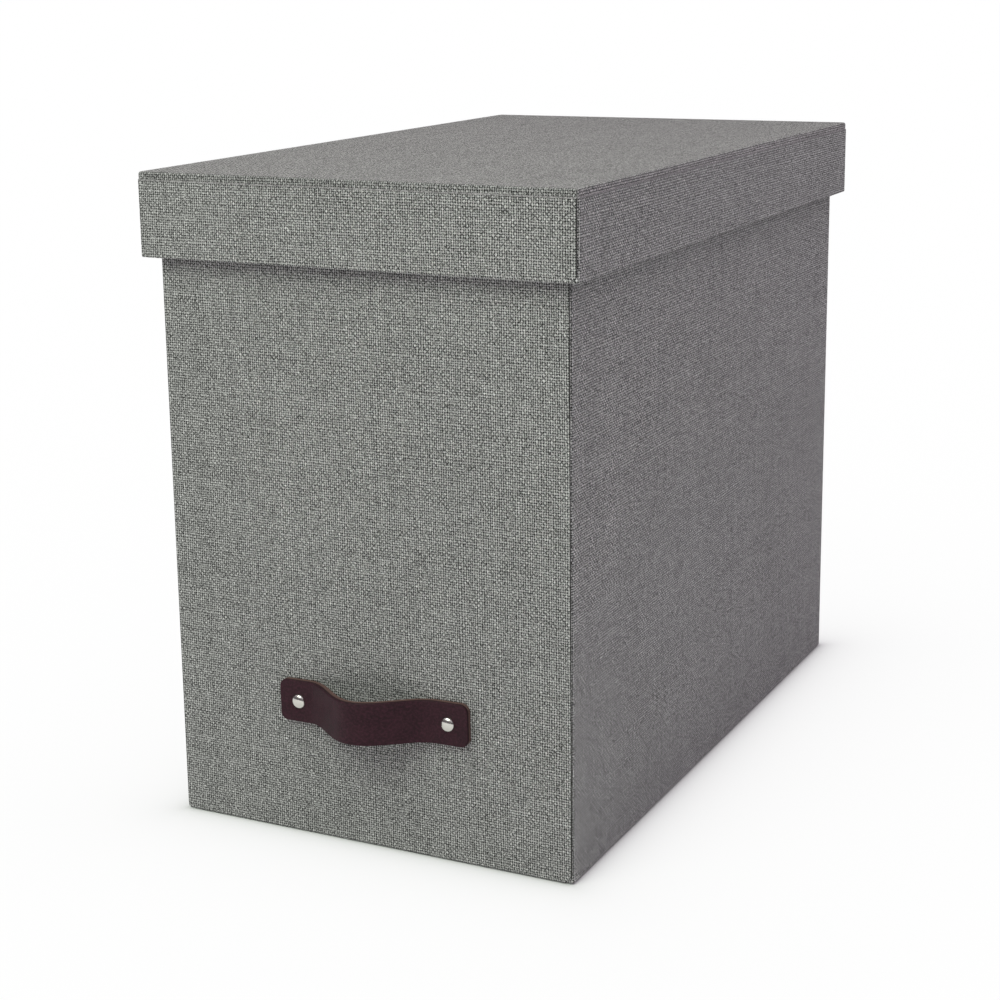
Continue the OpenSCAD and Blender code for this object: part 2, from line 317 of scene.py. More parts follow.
class Sheet:
    """A glued sheet: its outer faces in millimetres, with each corner's place in the flat pattern."""

    def __init__(self, turned=1, mirrored=1, pattern=(0.0, 0.0)):
        self.turned, self.mirrored, self.pattern = turned, mirrored, pattern
        self.corners, self.found, self.faces, self.flat = [], {}, [], []

    def corner(self, at):
        x, y, z = at
        at = (x * self.turned * self.mirrored, y * self.turned, z)
        key = tuple(round(c, 3) for c in at)
        if key not in self.found:
            self.found[key] = len(self.corners)
            self.corners.append([c * MM for c in at])
        return self.found[key]

    def face(self, points):
        """points are (x, y, z, u, v), anticlockwise seen from outside."""
        if self.mirrored < 0:
            points = points[::-1]
        ids = [self.corner(p[:3]) for p in points]
        kept = [k for k in range(len(ids)) if ids[k] != ids[k - 1]]
        if len(kept) > 2:
            self.faces.append([ids[k] for k in kept])
            self.flat.append([(points[k][3], points[k][4]) for k in kept])

    def strip(self, rows, wanted=lambda row, column: True):
        """Quads between rows of (x, y, z, u, v): columns run anticlockwise round the box, rows go up."""
        for r in range(len(rows) - 1):
            for c in range(len(rows[r]) - 1):
                if wanted(r, c):
                    self.face([rows[r][c], rows[r][c + 1], rows[r + 1][c + 1], rows[r + 1][c]])

    def make(self, name, body, node, materials):
        """Thickens the sheet inwards, gives its cut edges the second material and puts it on its body."""
        shape = bpy.data.meshes.new(name)
        shape.from_pydata(self.corners, [], self.faces)
        layer = shape.uv_layers.new(name="weave")
        flat = [(a + self.pattern[0], b + self.pattern[1]) for face in self.flat for a, b in face]
        for loop, spot in zip(layer.data, flat):
            loop.uv = spot
        for material in materials:
            shape.materials.append(material)
        piece = bpy.data.objects.new(name, shape)
        bpy.context.scene.collection.objects.link(piece)
        thick = piece.modifiers.new("thickness", "SOLIDIFY")
        thick.thickness = SHEET * MM
        thick.offset = -1
        thick.use_even_offset = True
        thick.material_offset_rim = 1
        return settle(piece, body, node)


def settle(piece, body, node, crease=40):
    """Applies a piece's modifiers, keeps its sharper edges crisp, and hands it to its body."""
    seen = piece.evaluated_get(bpy.context.evaluated_depsgraph_get())
    shape = bpy.data.meshes.new_from_object(seen)
    piece.modifiers.clear()
    piece.data = shape
    shape.shade_smooth()
    shape.set_sharp_from_angle(angle=math.radians(crease))
    even = piece.modifiers.new("even_shading", "WEIGHTED_NORMAL")
    even.keep_sharp = True
    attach(piece, body)
    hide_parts(node)
    return piece


def slant(piece, half):
    """Leans a sheet's upright cut edges over, as a knife leaves them, so that they show as a fine line."""
    lean, near = 0.3 * MM, 1e-6
    out = max(abs(corner.co.y) for corner in piece.data.vertices)
    for corner in piece.data.vertices:
        if abs(abs(corner.co.x) - half * MM) < near and abs(abs(corner.co.y) - out) < near:
            corner.co.x -= math.copysign(lean, corner.co.x)


def bend(radius, start, end, steps=fold_steps):
    """Points of an arc between two angles in degrees, counted from the first axis to the second."""
    angles = [math.radians(start + (end - start) * k / steps) for k in range(steps + 1)]
    return [(radius * math.cos(a), radius * math.sin(a)) for a in angles]


def wrap_plan(half_w, half_d, corner, reach, extra):
    """Where a side sheet runs, seen from above, as (x, y, out_x, out_y, u): along the front, round the
    corner, back along the side and round the far corner. extra are further places along the front."""
    plan = [(x, -half_d, 0, -1) for x in (half_w - reach, *extra)]
    for sign in (-1, 1):
        for out_x, out_y in bend(1, 90 * min(sign, 0), 90 * max(sign, 0)):
            x = half_w - corner + corner * out_x
            y = sign * (half_d - corner) + corner * out_y
            plan.append((x, y, out_x, out_y))
    plan += [(x, half_d, 0, 1) for x in (*extra[::-1], half_w - reach)]
    u, columns = 0.0, []
    for k, (x, y, out_x, out_y) in enumerate(plan):
        if k:
            u += math.hypot(x - plan[k - 1][0], y - plan[k - 1][1])
        columns.append((x, y, out_x, out_y, u))
    middle = u / 2
    return [(*c[:4], c[4] - middle) for c in columns]


def ring(columns, inset, z, v):
    """One level of a side sheet, that far inside its outline."""
    return [(x - ox * inset, y - oy * inset, z, u, v) for x, y, ox, oy, u in columns]


def box_side(name, node, mirrored, pattern):
    sheet = Sheet(1, mirrored, pattern)
    columns = wrap_plan(box_half_w, box_side_y, box_corner, turn, (rim_in_x,))
    low, high = SHEET + fold, box_top - fold
    down = [(fold - b, low - a, low - fold * math.radians(90 * (1 - k / fold_steps)))
            for k, (b, a) in enumerate(bend(fold, 90, 0))]
    up = [(fold - a, high + b, high + fold * math.radians(90 * k / fold_steps))
          for k, (a, b) in enumerate(bend(fold, 0, 90))]
    rows = [ring(columns, *spot) for spot in down + up]
    last = len(columns) - 2
    sheet.strip(rows, lambda r, c: r == fold_steps or 0 < c < last)
    # under the base, mitred where it meets the end covers' turn-unders
    lowest, highest = rows[0][1:-1], rows[-1][1:-1]
    v = lowest[0][4]
    inner, end = box_half_w - turn, box_front_y - turn
    under = [(inner, s * (end - SHEET), SHEET, s * end, v - turn) for s in (1, -1)]
    sheet.face((under + lowest)[::-1])
    # over the rim and down inside
    v = highest[0][4]
    wide = box_half_w - fold - (rim_in_x + fold)
    ends = [(rim_in_x + fold, s * corner_y, box_top, s * corner_y, v + wide) for s in (1, -1)]
    square = [(rim_in_x, s * corner_y, box_top, s * corner_y, v + wide + fold) for s in (1, -1)]
    sheet.face(highest + [square[0], ends[0], ends[1], square[1]])
    inside, across = [], (-corner_y, corner_y)
    for k, (a, b) in enumerate(bend(fold, 90, 180)):
        length = v + wide + fold * math.radians(90 * k / fold_steps)
        inside.append([(rim_in_x + fold + a, y, box_top - fold + b, y, length) for y in across])
    length += turn_in - fold
    inside.append([(rim_in_x, y, box_top - turn_in, y, length) for y in across])
    sheet.strip(inside)
    sheet.make(name, "box", node, [side_canvas_painted_light, shade_painted_cut_edge])


box_side("box_right_canvas", "right_cover", 1, (0, 0))
box_side("box_left_canvas", "left_cover", -1, (900.4, 37.2))

# ---------- end covers of the box ----------
# The same canvas for the front and the back, laid over the side sheets' turned edges. Each stops a
# little short of the corners, where its open edge shows as a fine dark line, its cut edge painted
# dark as shade, and its corners are snipped before it is turned over the rim and under the base.

box_seam = 96.15
snip = 2.6


def end_profile(front_y, low, high, under, inside_y, inside_low):
    """A front sheet in section, as (y, z, v) from its edge under the base up to its edge inside."""
    path = [(under - front_y, low)]
    path += [(fold - front_y - b, low + fold - a) for b, a in bend(fold, 90, 0)]
    path += [(-front_y, low + snip), (-front_y, high - snip)]
    path += [(fold - front_y - a, high - fold + b) for a, b in bend(fold, 0, 90)]
    path += [(-inside_y - fold + b, high - fold + a) for b, a in bend(fold, 90, 0)]
    path += [(-inside_y, inside_low)]
    return path


def box_end(name, node, turned, pattern):
    """Full width on the flat of the wall, and snipped narrower where it is turned over."""
    sheet = Sheet(turned, 1, pattern)
    rows, v, before = [], 0.0, None
    path = end_profile(box_front_y, SHEET, box_top, turn, rim_in_y, box_top - turn_in)
    for k, (y, z) in enumerate(path):
        if before:
            v += math.hypot(y - before[0], z - before[1])
        before = (y, z)
        half = rim_in_x
        if k == 0:
            half = box_half_w - turn
        elif y == -box_front_y and SHEET + fold < z < box_top - fold:
            half = box_seam
        rows.append([(x * half, y, z, x * half, v) for x in (-1, 1)])
    sheet.strip(rows)
    slant(sheet.make(name, "box", node, [grey_canvas, shade_painted_cut_edge]), box_seam)


box_end("box_front_canvas", "front_cover", 1, (300.7, 11.9))
box_end("box_back_canvas", "back_cover", -1, (612.1, 81.3))

# ---------- sheet under the base ----------
# One flat piece of the canvas that closes the underside over the turned edges. The box stands on it.

base_half_w = 92.75
base_half_d = 164.85

base = Sheet(pattern=(411.0, 505.0))
base_outline = []
for sign_x, sign_y, start in ((1, 1, 0), (-1, 1, 90), (-1, -1, 180), (1, -1, 270)):
    for a, b in bend(box_corner, start, start + 90, 4):
        x = sign_x * (base_half_w - box_corner) + a
        y = sign_y * (base_half_d - box_corner) + b
        base_outline.append((x, y))
base.face([(x, y, 0.0, x, y) for x, y in base_outline[::-1]])
base.make("base_canvas", "box", "base_cover", [grey_canvas, shade_painted_cut_edge])

# ---------- linings ----------
# Off-white lining paper, pasted last on the walls and the floor of the box and inside the lid. It
# covers the tapes and the board between the turned-in canvas edges.

begin("lining_paper")
at = Wire.add("TexCoord", {}, {}, 3)
mottle = cloud(at, 55, 3.0, 0.6)
tooth = cloud(at, 1400, 3.0, 0.6)
strands = cloud(Wire.add("VectorMath", {"operation": "MULTIPLY"}, {0: at, 1: (1, 1, 0.2)}), 700, 2.0)
paper_colour = dye(mottle.between(0.3, 0.7), (0.70, 0.68, 0.635), (0.755, 0.735, 0.695))
lining_paper = finish(
    "lining_paper",
    {
        "Base Color": dye(strands.between(0.62, 0.75) * 0.35, paper_colour, (0.52, 0.49, 0.44)),
        "Roughness": 0.85,
        "Specular IOR Level": 0.3,
        "Normal": bumped(tooth, 0.00008, 0.5),
    },
)
for lining in ("wall_lining", "floor_lining", "lid_top_lining", "lid_skirt_lining"):
    dress(lining, lining_paper)

# ---------- folder rails ----------
# Two strips of zinc-plated sheet steel, 0.8 mm, bent to hang over the end walls. Each has a channel for
# the folders' hooks, and its carrying edge is folded double. They are only pushed on.

begin("zinc_plate")
at = Wire.add("TexCoord", {}, {}, 3)
drawn = cloud(Wire.add("VectorMath", {"operation": "MULTIPLY"}, {0: at, 1: (0.05, 1, 1)}), 1600, 3.0)
spangle = Wire.add("TexVoronoi", {"feature": "F1"}, {"Vector": at, "Scale": 160.0}, 1)
spangle_shade = Wire.add("RGBToBW", {}, {0: spangle})
zinc_plate = finish(
    "zinc_plate",
    {
        "Base Color": dye(spangle_shade, (0.52, 0.53, 0.55), (0.66, 0.67, 0.69)),
        "Metallic": 1.0,
        "Roughness": 0.26 + drawn * 0.16 + spangle_shade * 0.06,
        "Normal": bumped(drawn, 0.00003, 0.5),
    },
)

# half the rail's length, half the strip's thickness, and the bends' radii at the strip's middle: over
# the rim, at the bottom of the channel and in the doubled edge
rail_half = 92.65
half_gauge = 0.4
rim_bend = 0.8
channel_bend = 1.2
doubled_bend = 0.43


def solid(name, points, faces, materials):
    """A closed piece from points in metres, with its faces all turned outwards."""
    shape = bpy.data.meshes.new(name)
    shape.from_pydata(points, [], faces)
    for material in materials:
        shape.materials.append(material)
    mesh = bmesh.new()
    mesh.from_mesh(shape)
    bmesh.ops.recalc_face_normals(mesh, faces=mesh.faces)
    mesh.to_mesh(shape)
    mesh.free()
    piece = bpy.data.objects.new(name, shape)
    bpy.context.scene.collection.objects.link(piece)
    return piece


def rail(name, node, turned):
    """Thickens the strip's middle line, which runs from the grip outside the wall, over the rim, down,
    along the channel's bottom and up to the doubled edge. It is measured in from the front and up
    from the rim."""
    wall, face, edge = -half_gauge, 4.0, 13.35
    grip_end, channel, edge_top, edge_end = -10.0, -36.0, -23.23, -26.4
    r, s, t = rim_bend, channel_bend, doubled_bend
    rim = half_gauge - r
    line = [(wall, grip_end)]
    line += [(wall + r - a * r, rim + b * r) for a, b in bend(1, 0, 90, 5)]
    line += [(face - r + b * r, rim + a * r) for b, a in bend(1, 90, 0, 5)]
    line += [(face + s - a * s, channel + s - b * s) for a, b in bend(1, 0, 90, 5)]
    line += [(edge - s + b * s, channel + s - a * s) for b, a in bend(1, 90, 0, 5)]
    line += [(edge + t - a * t, edge_top + b * t) for a, b in bend(1, 0, 180, 8)]
    line += [(edge + 2 * t, edge_end)]
    outer, inner = [], []
    for k, spot in enumerate(line):
        back, ahead = line[max(k - 1, 0)], line[min(k + 1, len(line) - 1)]
        run = Vector((ahead[0] - back[0], ahead[1] - back[1])).normalized()
        aside = Vector((-run.y, run.x)) * half_gauge
        outer.append(Vector(spot) + aside)
        inner.append(Vector(spot) - aside)
    section = outer + inner[::-1]
    points, faces = [], []
    for x in (-rail_half, rail_half):
        for p in section:
            y = p.x - box_front_y
            points.append((x * turned * MM, y * turned * MM, (box_top + p.y) * MM))
    n = len(section)
    for k in range(n):
        after = (k + 1) % n
        faces.append((k, after, n + after, n + k))
    for k in range(len(line) - 1):
        far = n - 1 - k
        faces.append((k, far, far - 1, k + 1)[::-1])
        faces.append((n + k, n + far, n + far - 1, n + k + 1))
    piece = solid(name, points, faces, [zinc_plate])
    edges = piece.modifiers.new("eased_edges", "BEVEL")
    edges.width = 0.12 * MM
    edges.segments = 2
    edges.limit_method = "ANGLE"
    edges.angle_limit = math.radians(60)
    return settle(piece, "box", node)


rail("front_folder_rail", "front_rail", 1)
rail("back_folder_rail", "back_rail", -1)

# ---------- leather pull ----------
# A strap of 3 mm vegetable-tanned cowhide, dyed and waxed on its face, with raw cut edges. It is bowed
# out for a finger and riveted flat to the front at both ends, pressed in a little round each rivet.

pull_length = 92.0
pull_width = 18.8
hide = 3.0
tab_corner = 3.5
rivet_apart = 73.2
pull_at = Vector((3.8, -box_front_y, 62.9))
pull_slant = math.radians(0.8)

# how far the back is bowed out, where along the strap that is, and how far it is from there to the
# flat ends
bow = 15.6
crown = -2.2
bow_left = 29.5
bow_right = 33.0

# how deep and how far out the rivets press the face in
press_depth = 0.42
press_reach = 5.2

# seen from the front: x along the strap, y up across it, z out of the box
on_front = (
    Matrix.Translation(pull_at * MM)
    @ Matrix.Rotation(-pull_slant, 4, "Y")
    @ Matrix.Rotation(math.radians(90), 4, "X")
    @ Matrix.Scale(MM, 4)
)


def bow_line(x):
    """Height of the strap's back over the front at x along it, and its slope."""
    run = x - crown
    length = bow_right if run > 0 else bow_left
    if abs(run) > length:
        return 0.0, 0.0
    a = math.pi * run / length
    return bow / 2 * (1 + math.cos(a)), -bow / 2 * math.sin(a) * math.pi / length


def half_width(x):
    """Half the strap's width, less at its rounded corners."""
    over = abs(x) - (pull_length / 2 - tab_corner)
    if over <= 0:
        return pull_width / 2
    return pull_width / 2 - tab_corner + math.sqrt(max(tab_corner**2 - over**2, 0))


def pressed(x, y):
    """How far the face is pressed in round a rivet."""
    depth = 0.0
    for side in (-1, 1):
        away = math.hypot(x - side * rivet_apart / 2, y)
        depth += press_depth * max(0.0, 1 - (away / press_reach) ** 2) ** 1.5
    return depth


begin("leather_face")
at = Wire.add("UVMap", {"uv_map": "hide"}, {})
pores = Wire.add("TexVoronoi", {"feature": "DISTANCE_TO_EDGE"}, {"Vector": at, "Scale": 1.5})
creases = cloud(at, 0.9, 4.0, 0.6)
shading = cloud(at, 0.11, 3.0, 0.55)
grain = pores.between(0.0, 0.16) * 0.5 + creases
leather_colour = dye(shading.between(0.3, 0.7), (0.019, 0.0038, 0.0085), (0.031, 0.0072, 0.0138))
leather_face = finish(
    "leather_face",
    {
        "Base Color": dye(creases.between(0.35, 0.75) * 0.6, leather_colour, (0.07, 0.018, 0.034)),
        "Roughness": 0.42 + creases * 0.18,
        "Specular IOR Level": 0.24,
        "Normal": bumped(grain, 0.00007, 0.6),
    },
)

# the cut edges read their depth in the hide from the pattern, where the hide's back is at this mark
back_mark = 100.0
begin("leather_raw_edge")
at = Wire.add("UVMap", {"uv_map": "hide"}, {})
depth = Wire.add("SeparateXYZ", {}, {0: at}).output("Y") - back_mark
fibres = cloud(at, 2.2, 3.0, 0.6)
raw = dye(fibres.between(0.3, 0.7), (0.085, 0.045, 0.041), (0.20, 0.12, 0.108))
leather_edge = finish(
    "leather_raw_edge",
    {
        "Base Color": dye((depth + fibres * 1.2).between(2.1, 3.1), raw, (0.026, 0.009, 0.013)),
        "Roughness": 0.8,
        "Specular IOR Level": 0.25,
        "Normal": bumped(fibres, 0.0002, 0.5),
    },
)

# the face is eased where it meets the cut edges, so the stations lie closer together there
eased = 0.45
inward = [0.0, 0.04, 0.14, 0.29, eased]
near_end = inward + [0.8, 1.3, 2.0, 2.8, tab_corner]
between_tabs = pull_length - 2 * tab_corner
stations = [d - pull_length / 2 for d in near_end]
stations += [tab_corner - pull_length / 2 + between_tabs * k / 140 for k in range(1, 140)]
stations += [pull_length / 2 - d for d in near_end[::-1]]


def rounded_off(x, y):
    """How far the face falls away where it meets the cut edge."""
    past = (abs(x) - pull_length / 2 + tab_corner, abs(y) - pull_width / 2 + tab_corner)
    outside = math.hypot(max(past[0], 0), max(past[1], 0)) + min(max(past), 0) - tab_corner
    short = max(0.0, eased + outside)
    return eased - math.sqrt(max(eased**2 - short**2, 0))


points, spots = [], []
for x in stations:
    rise, slope = bow_line(x)
    out = Vector((-slope, 1)).normalized()
    half = half_width(x)
    middle = [(half - eased) * (k / 11 - 1) for k in range(1, 22)]
    for y in [d - half for d in inward] + middle + [half - d for d in inward[::-1]]:
        outer = Vector((x, rise)) + out * (hide - pressed(x, y) - rounded_off(x, y))
        points += [(outer.x, y, outer.y), (x, y, rise)]
        spots += [(x, y), (x, y)]
per = len(points) // len(stations)
faces, edge_faces = [], []
for s in range(len(stations) - 1):
    for k in range(0, per - 2, 2):
        a, b = s * per + k, (s + 1) * per + k
        faces += [(a, b, b + 2, a + 2), (a + 1, a + 3, b + 3, b + 1)]
    for k in (s * per, s * per + per - 2):
        edge_faces.append((k, k + 1, k + per + 1, k + per))
for k in range(0, per - 2, 2):
    for a in (k, (len(stations) - 1) * per + k):
        edge_faces.append((a, a + 2, a + 3, a + 1))
placed = [on_front @ Vector(p) for p in points]
strap = solid("leather_strap", placed, faces + edge_faces, [leather_face, leather_edge])
layer = strap.data.uv_layers.new(name="hide")
for polygon in strap.data.polygons:
    polygon.material_index = int(polygon.index >= len(faces))
    for loop in polygon.loop_indices:
        corner = strap.data.loops[loop].vertex_index
        x, y = spots[corner]
        level = back_mark + hide - hide * (corner % 2)
        layer.data[loop].uv = (x + y, level) if polygon.material_index else (x, y)
settle(strap, "box", "pull_strap", 60)

# ---------- rivets ----------
# Two double-cap rivets in polished nickel. The front cap and its post are one piece, the washer
# spreads the pull over the board inside, and the inner cap is set over the post's end.

begin("polished_nickel")
at = Wire.add("TexCoord", {}, {}, 3)
scuffs = cloud(at, 900, 2.0)
polished_nickel = finish(
    "polished_nickel",
    {
        "Base Color": dye(scuffs, (0.74, 0.715, 0.68), (0.80, 0.775, 0.74)),
        "Metallic": 1.0,
        "Roughness": 0.10 + scuffs * 0.08,
    },
)


def turned_pair(name, node, section, material, hollow=False):
    """Two like turned parts at the pull's rivets, from a section of (radius, height over the front)."""
    steps = 48
    points, faces = [], []
    for side in (-1, 1):
        start = len(points)
        for radius, z in section:
            for k in range(steps):
                a = 2 * math.pi * k / steps
                spot = (side * rivet_apart / 2 + radius * math.cos(a), radius * math.sin(a), z)
                points.append(on_front @ Vector(spot))
        rings = [range(start + r * steps, start + (r + 1) * steps) for r in range(len(section))]
        if hollow:
            rings.append(rings[0])
        else:
            faces += [list(rings[0]), list(rings[-1])]
        for ring_a, ring_b in zip(rings, rings[1:]):
            for k in range(steps):
                after = (k + 1) % steps
                faces.append((ring_a[k], ring_a[after], ring_b[after], ring_b[k]))
    return settle(solid(name, points, faces, [material]), "box", node, 50)


def cap_section(seat, away):
    """A rivet's domed cap with its rolled rim, from the seat outwards."""
    rim = [(2.4, 0), (3.0, 0), (3.17, 0.07), (3.25, 0.22), (3.23, 0.36)]
    dome = [math.radians(90 * k / 14) for k in range(14)]
    cap = rim + [(3.18 * math.cos(a), 0.42 + 1.45 * math.sin(a)) for a in dome] + [(0.05, 1.87)]
    return [(radius, seat + away * z) for radius, z in cap]


# the rivet holds the hide, the wall with its canvas and its lining, and the washer
wall_through = 3.2 + 0.4
washer = 0.6
grip = hide + wall_through + washer
inner_z = hide - grip
turned_pair(
    "rivet_fronts",
    "pull_rivets",
    [(1.4, inner_z), (1.4, hide - 0.4)] + cap_section(hide - 0.4, 1),
    polished_nickel,
)
turned_pair("rivet_inner_caps", "rivet_caps", cap_section(inner_z, -0.85), polished_nickel)
turned_pair(
    "rivet_washer_rings",
    "rivet_washers",
    [(1.5, inner_z), (5.4, inner_z), (5.5, inner_z + 0.1), (5.5, inner_z + washer), (1.5, inner_z + washer)],
    zinc_plate,
    hollow=True,
)

# ---------- top cover of the lid ----------
# One canvas sheet over the lid's top board, pulled down over its edge and round its corners. The
# skirt's sheets are pasted over its turned edge, so a narrow band of it shows all round.

lid_top = 290.8
lid_band = 287.6
lid_flap = 278.8
top_half_w = 102.5
top_half_d = 174.6
top_corner = 1.6
top_fold = 1.2

# the sheet's places round the lid: which corner, which way out, and how far along past the corner
top_plan = []
for sign_x, sign_y, start in ((1, -1, -90), (1, 1, 0), (-1, 1, 90), (-1, -1, 180)):
    top_plan += [(sign_x, sign_y, a, b, 0.0) for a, b in bend(1, start, start + 90, 8)]
    to_flap = turn - SHEET - top_corner
    if start in (-90, 90):
        top_plan += [(sign_x, sign_y, sign_x, 0, to_flap), (sign_x, -sign_y, sign_x, 0, to_flap)]
    else:
        top_plan += [(sign_x, sign_y, 0, sign_y, to_flap), (-sign_x, sign_y, 0, sign_y, to_flap)]
top_plan.append(top_plan[0])

# the lid top's copy of the canvas is the same cloth painted darker and a trace pinker, as shade, for the
# stronger light on the top; its weave stands out more
top_canvas_painted_shade = canvas("top_canvas_painted_shade", (0.2520, 0.2400, 0.2470), 1.75)
# a darker copy of the canvas, where it is pulled down over the front and back edges
darker_band_canvas = canvas("darker_band_canvas", (0.223, 0.217, 0.221), 1.2)
top = Sheet(pattern=(77.0, 1203.0))


def top_ring(inset, z, hang):
    """hang is how much cloth lies between this ring and the top's flat."""
    ring_points = []
    for sign_x, sign_y, out_x, out_y, past in top_plan:
        radius = max(top_corner - inset, 0.2)
        x = sign_x * (top_half_w - inset - radius) + radius * out_x
        y = sign_y * (top_half_d - inset - radius) + radius * out_y
        if past:
            x, y = (x, y - sign_y * past) if out_x else (x - sign_x * past, y)
        flat_x = min(abs(x), top_half_w - top_fold) * sign_x
        flat_y = min(abs(y), top_half_d - top_fold) * sign_y
        ring_points.append((x, y, z, flat_x + out_x * hang, flat_y + out_y * hang))
    return ring_points


arc = top_fold * math.pi / 2
rings = [top_ring(0, z, arc + lid_top - top_fold - z) for z in (lid_flap, lid_band)]
for k, (a, b) in enumerate(bend(top_fold, 0, 90)):
    rings.append(top_ring(top_fold - a, lid_top - top_fold + b, arc * (1 - k / fold_steps)))
# only the long edges have flaps under the skirt's sheets
flaps = [k for k in range(len(top_plan) - 1) if math.dist(rings[1][k][:2], rings[1][k + 1][:2]) > 100]
top.strip(rings, lambda r, c: r > 0 or c in flaps)
top.face(rings[-1][:-1])
lid_canvas = top.make("lid_top_canvas", "lid", "lid_top_cover", [top_canvas_painted_shade, shade_painted_cut_edge, darker_band_canvas])
for polygon in lid_canvas.data.polygons:
    if polygon.material_index == 0 and abs(polygon.normal.y) > 0.35:
        polygon.material_index = 2

# ---------- side covers of the lid ----------
# One canvas sheet for each side of the skirt, starting below the top sheet's band. It is turned round
# both corners, under the skirt's rim and up inside.

lid_half_w = 102.9
lid_side_y = 174.6
lid_front_y = 175.0
lid_rim = 254.2
lid_corner = 1.6
lid_seam = 102.1
lid_fold = 0.6
lid_in_x = 99.3
lid_in_y = 171.4
lid_corner_y = 171.8

# the skirts' upper cut edges: a paler copy of the cut edge, its tone partly the edge's own and partly
# painted light
begin("canvas_top_edge_painted_light")
at = Wire.add("TexCoord", {}, {}, 3)
frayed = cloud(at, 1100, 2.0)
cut_edge_painted_light = finish(
    "canvas_top_edge_painted_light",
    {
        "Base Color": dye(frayed.between(0.35, 0.65), (0.17, 0.16, 0.168), (0.42, 0.40, 0.415)),
        "Roughness": 0.95,
        "Specular IOR Level": 0.1,
    },
)


def skirt_sheet(sheet, name, node, cloth):
    """Makes one of the skirt's sheets. Its upper cut edge slopes, so its fibres stand in the light, and it
    takes a paler copy of the cut edge, partly painted light.
    """
    slope, near = 0.6 * MM, 1e-6
    piece = sheet.make(name, "lid", node, [cloth, shade_painted_cut_edge, cut_edge_painted_light])
    for polygon in piece.data.polygons:
        upper = polygon.normal.z > 0.5 and polygon.center.z > (lid_band - 1) * MM
        if polygon.material_index == 1 and upper:
            polygon.material_index = 2
    outer = [Vector(corner) for corner in sheet.corners if corner[2] == lid_band * MM]
    for corner in piece.data.vertices:
        if any((corner.co - spot).length < near for spot in outer):
            corner.co.z -= slope
    return piece


def lid_side(name, node, mirrored, pattern):
    sheet = Sheet(1, mirrored, pattern)
    columns = wrap_plan(lid_half_w, lid_side_y, lid_corner, turn, (lid_in_x,))
    low = lid_rim + lid_fold
    down = [(lid_fold - b, low - a, low - lid_fold * math.radians(90 * (1 - k / fold_steps)))
            for k, (b, a) in enumerate(bend(lid_fold, 90, 0))]
    rows = [ring(columns, *spot) for spot in down] + [ring(columns, 0, lid_band, lid_band)]
    last = len(columns) - 2
    sheet.strip(rows, lambda r, c: r == fold_steps or 0 < c < last)
    lowest = rows[0][1:-1]
    v = lowest[0][4]
    wide = lid_half_w - lid_fold - (lid_in_x + fold)
    ends = [(lid_in_x + fold, s * lid_corner_y, lid_rim, s * lid_corner_y, v - wide) for s in (1, -1)]
    square = [(lid_in_x, s * lid_corner_y, lid_rim, s * lid_corner_y, v - wide - fold) for s in (1, -1)]
    sheet.face((lowest + [square[0], ends[0], ends[1], square[1]])[::-1])
    inside, across = [], (lid_corner_y, -lid_corner_y)
    for k, (a, b) in enumerate(bend(fold, 270, 180)):
        length = v - wide - fold * math.radians(90 * k / fold_steps)
        inside.append([(lid_in_x + fold + a, y, lid_rim + fold + b, y, length) for y in across])
    length -= turn_in - fold
    inside.append([(lid_in_x, y, lid_rim + turn_in, y, length) for y in across])
    sheet.strip(inside)
    skirt_sheet(sheet, name, node, side_canvas_painted_light)


lid_side("lid_right_canvas", "lid_right_cover", 1, (133.3, 702.2))
lid_side("lid_left_canvas", "lid_left_cover", -1, (745.9, 633.1))

# ---------- end covers of the lid ----------
# The skirt's front and back sheets, laid over the side sheets' turned edges and cut off just short of
# the corners. Their upper edge lies just under the top sheet's band.


def lid_end(name, node, turned, pattern):
    sheet = Sheet(turned, 1, pattern)
    path = [(-lid_front_y, lid_band), (-lid_front_y, lid_rim + snip)]
    path += [(lid_fold - lid_front_y - a, lid_rim + lid_fold - b) for a, b in bend(lid_fold, 0, 90)]
    path += [(-lid_in_y - fold + b, lid_rim + fold - a) for b, a in bend(fold, 90, 0)]
    path += [(-lid_in_y, lid_rim + turn_in)]
    rows, v, before = [], 0.0, None
    for y, z in path[::-1]:
        if before:
            v += math.hypot(y - before[0], z - before[1])
        before = (y, z)
        half = lid_seam if y == -lid_front_y and z > lid_rim + fold else lid_in_x
        rows.append([(x * half, y, z, x * half, v) for x in (-1, 1)])
    sheet.strip(rows)
    slant(skirt_sheet(sheet, name, node, grey_canvas), lid_seam)


lid_end("lid_front_canvas", "lid_front_cover", 1, (288.8, 902.6))
lid_end("lid_back_canvas", "lid_back_cover", -1, (587.5, 977.7))

# ---------- the studio ----------
# A white table in a plain studio: a softbox over the front, a weaker one over the right side and a
# pale ceiling. The camera stands where the photograph was taken from.

floor_shape = bpy.data.meshes.new("floor")
reach = 40.0
square = [(-reach, -reach, 0), (reach, -reach, 0), (reach, reach, 0), (-reach, reach, 0)]
floor_shape.from_pydata(square, [], [(0, 1, 2, 3)])
floor = bpy.data.objects.new("floor", floor_shape)
bpy.context.scene.collection.objects.link(floor)
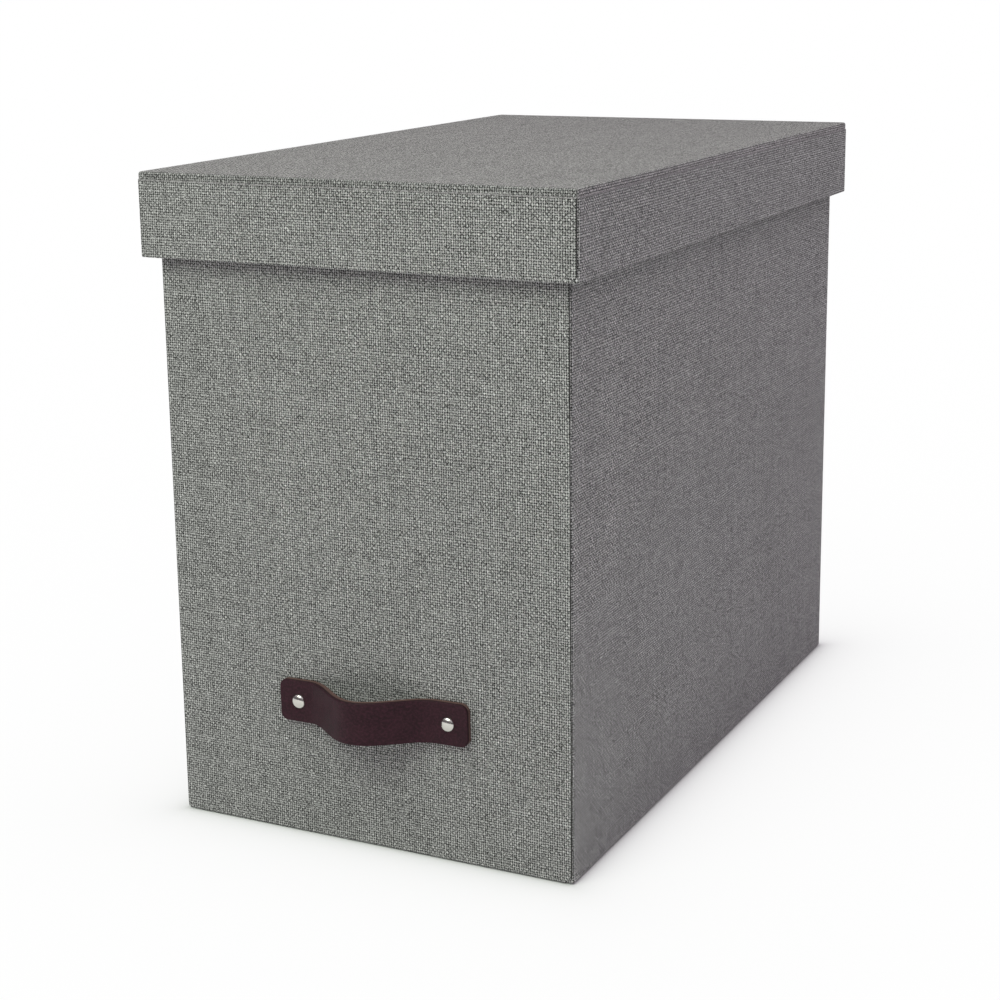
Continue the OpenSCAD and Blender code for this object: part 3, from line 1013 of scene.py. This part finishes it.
# the table is matt close to the box, where its shadow falls, and pure white to the camera further off
shadow_reach = 0.004
begin("white_table")
spot = Wire.add("SeparateXYZ", {}, {0: Wire.add("TexCoord", {}, {}, 3)})
past_x = (spot.output("X").maths("ABSOLUTE") - box_half_w * MM).maths("MAXIMUM", 0.0)
past_y = (spot.output("Y").maths("ABSOLUTE") - box_front_y * MM).maths("MAXIMUM", 0.0)
away = (past_x * past_x + past_y * past_y).maths("SQRT")
seen = Wire.add("LightPath", {}, {}, 0)
matt = Wire.add("BsdfDiffuse", {}, {"Color": (0.90, 0.895, 0.91, 1)})
glow = Wire.add("Emission", {}, {"Color": (1, 1, 1, 1), "Strength": 1.0})
table = Wire.add("MixShader", {}, {0: seen * (away / (away + shadow_reach)), 1: matt, 2: glow})
Wire.tree.links.new(table.socket, Wire.tree.nodes["Material Output"].inputs["Surface"])
floor_shape.materials.append(bpy.data.materials["white_table"])

# the room's ceiling is paler than its walls, and the camera sees plain white behind the box
world = bpy.data.worlds.new("studio")
world.use_nodes = True
bpy.context.scene.world = world
Wire.tree = world.node_tree
Wire.tree.nodes.clear()
way = Wire.add("TexCoord", {}, {}, 0)
upward = Wire.add("SeparateXYZ", {}, {0: way}).output("Z")
room = Wire.add("ValToRGB", {"stops": [(0.0, 0.10), (0.3, 0.14), (0.6, 0.42), (1.0, 0.68)]}, {0: upward})
tinted = Wire.add("VectorMath", {"operation": "MULTIPLY"}, {0: room, 1: (1.04, 0.975, 1.03)})
seen = Wire.add("LightPath", {}, {}, 0)
sky = Wire.add("Background", {}, {"Color": tinted, "Strength": 1.1})
white = Wire.add("Background", {}, {"Color": (1, 1, 1, 1), "Strength": 1.0})
studio = Wire.add("MixShader", {}, {0: seen, 1: sky, 2: white})
output = Wire.tree.nodes.new("ShaderNodeOutputWorld")
Wire.tree.links.new(studio.socket, output.inputs["Surface"])


def soft_light(name, at, power, colour):
    """A square softbox at a place in metres, of that many watts, turned to the middle of the box."""
    lamp = bpy.data.lights.new(name, "AREA")
    lamp.size = softbox
    lamp.energy = power
    lamp.color = colour
    holder = bpy.data.objects.new(name, lamp)
    holder.location = at
    holder.rotation_euler = (middle - Vector(at)).to_track_quat("-Z", "Y").to_euler()
    holder.visible_camera = False
    bpy.context.scene.collection.objects.link(holder)


softbox = 0.9
middle = Vector((0, 0, 0.15))
soft_light("overhead", (-0.2, -0.95, 1.12), 9.4, (0.87, 1.0, 0.82))
soft_light("fill", (1.0, 0.5, 1.1), 1.6, (1.0, 0.98, 1.0))

camera_data = bpy.data.cameras.new("camera")
camera_data.sensor_width = 36
camera_data.lens = 72.9134
camera_data.shift_x = 0.0059
camera_data.shift_y = -0.0668
camera_data.clip_end = 200
camera = bpy.data.objects.new("camera", camera_data)
camera.matrix_world = Matrix(
    (
        (0.8959595, -0.0887888, 0.4351702, 0.4176230),
        (0.4439602, 0.2065835, -0.8719074, -0.8801325),
        (-0.0124833, 0.9743920, 0.2245092, 0.3736873),
        (0, 0, 0, 1),
    )
)
bpy.context.scene.collection.objects.link(camera)
bpy.context.scene.camera = camera
bpy.context.scene.view_settings.view_transform = "Standard"
